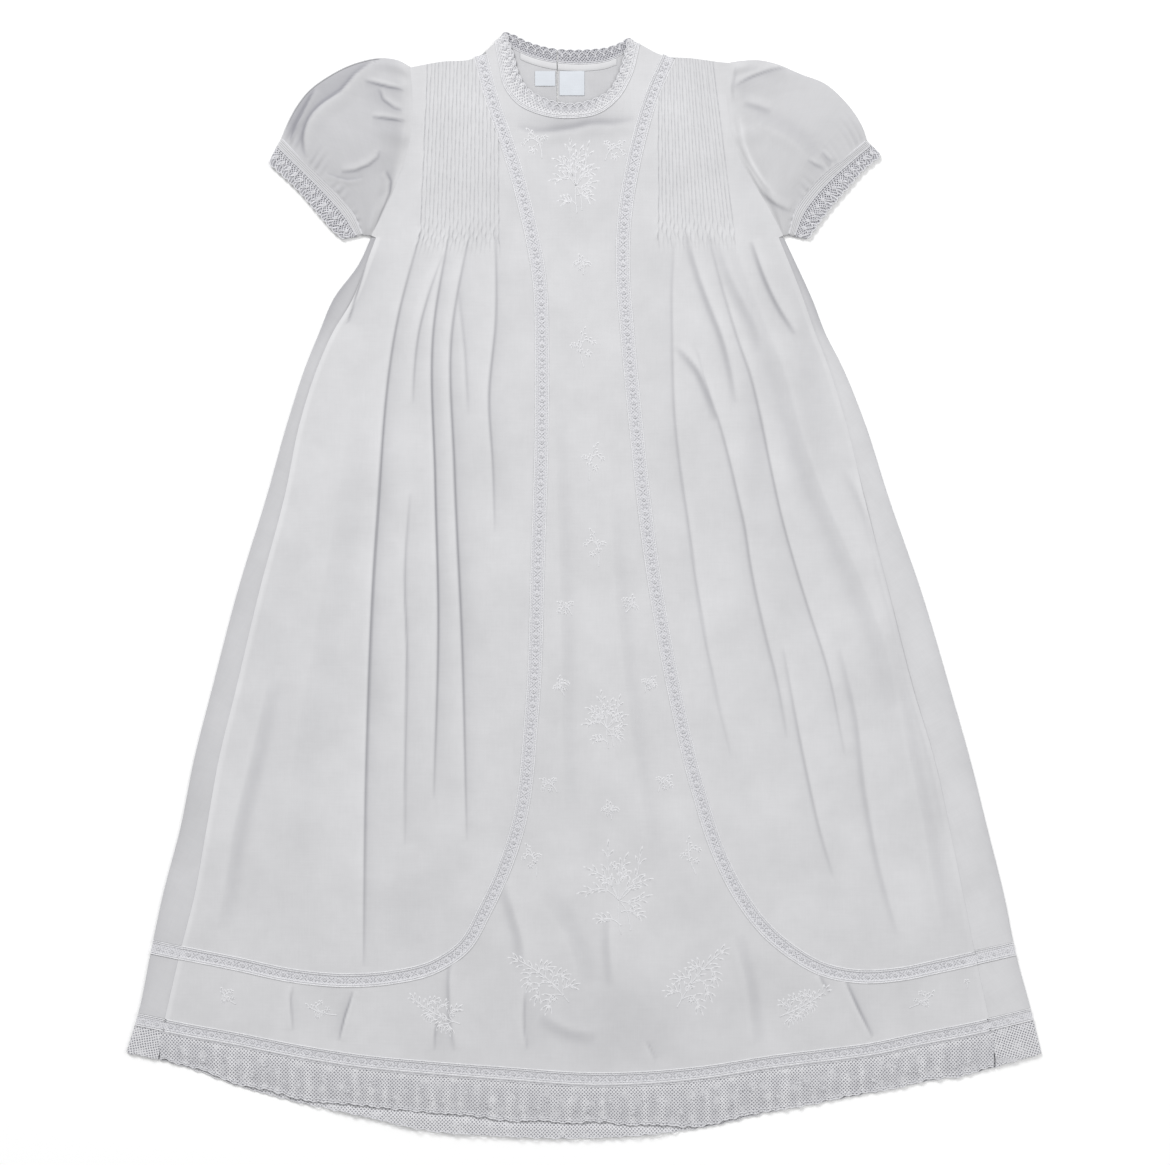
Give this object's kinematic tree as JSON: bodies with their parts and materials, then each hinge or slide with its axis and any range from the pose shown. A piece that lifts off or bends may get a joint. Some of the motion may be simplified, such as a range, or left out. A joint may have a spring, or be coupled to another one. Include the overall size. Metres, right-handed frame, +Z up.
{
  "type": "christening gown",
  "caption": "Baby's christening gown laid flat, with puff sleeves, pin tucks, curved lace insertions and a gathered lace hem.",
  "frame": {"origin": "under the middle of the gown's width and length, on the surface that it lies on", "axes": "+Y up the gown from hem to neck, +X to the right as seen from above with the front up, +Z up from the surface"},
  "size_m": [0.5946, 0.7183, 0.0067],
  "materials": {
    "back": "plain-woven cotton batiste, semi-sheer",
    "back_hem_band": "plain-woven cotton batiste, semi-sheer",
    "back_hem_insertion": "cotton lace insertion with corded edges",
    "back_hem_lace": "gathered cotton net lace",
    "back_insertion": "cotton lace insertion with corded edges",
    "cuff_band_left": "corded cotton band",
    "cuff_band_right": "corded cotton band",
    "cuff_lace_left": "cotton lace edging",
    "cuff_lace_right": "cotton lace edging",
    "front_center": "plain-woven cotton batiste, semi-sheer",
    "front_hem_insertion": "cotton lace insertion with corded edges",
    "front_hem_lace": "gathered cotton net lace",
    "front_side_left": "pin-tucked cotton batiste",
    "front_side_right": "pin-tucked cotton batiste",
    "insertion_left": "cotton lace insertion with corded edges",
    "insertion_right": "cotton lace insertion with corded edges",
    "label_left": "woven satin tape, bare",
    "label_right": "woven satin tape, bare",
    "neck_binding_left": "folded cotton binding",
    "neck_binding_right": "folded cotton binding",
    "neck_lace_back_left": "cotton lace edging",
    "neck_lace_back_right": "cotton lace edging",
    "neck_lace_front": "cotton lace edging",
    "sleeve_left": "plain-woven cotton batiste, semi-sheer",
    "sleeve_right": "plain-woven cotton batiste, semi-sheer"
  },
  "bodies": {
    "root": {"back": "back", "back_hem_band": "back_hem_band", "back_hem_insertion": "back_hem_insertion", "back_hem_lace": "back_hem_lace", "back_insertion": "back_insertion", "cuff_band_left": "cuff_band_left", "cuff_band_right": "cuff_band_right", "cuff_lace_left": "cuff_lace_left", "cuff_lace_right": "cuff_lace_right", "front_center": "front_center", "front_hem_insertion": "front_hem_insertion", "front_hem_lace": "front_hem_lace", "front_side_left": "front_side_left", "front_side_right": "front_side_right", "insertion_left": "insertion_left", "insertion_right": "insertion_right", "label_left": "label_left", "label_right": "label_right", "neck_binding_left": "neck_binding_left", "neck_binding_right": "neck_binding_right", "neck_lace_back_left": "neck_lace_back_left", "neck_lace_back_right": "neck_lace_back_right", "neck_lace_front": "neck_lace_front", "sleeve_left": "sleeve_left", "sleeve_right": "sleeve_right"}
  },
  "joints": []
}
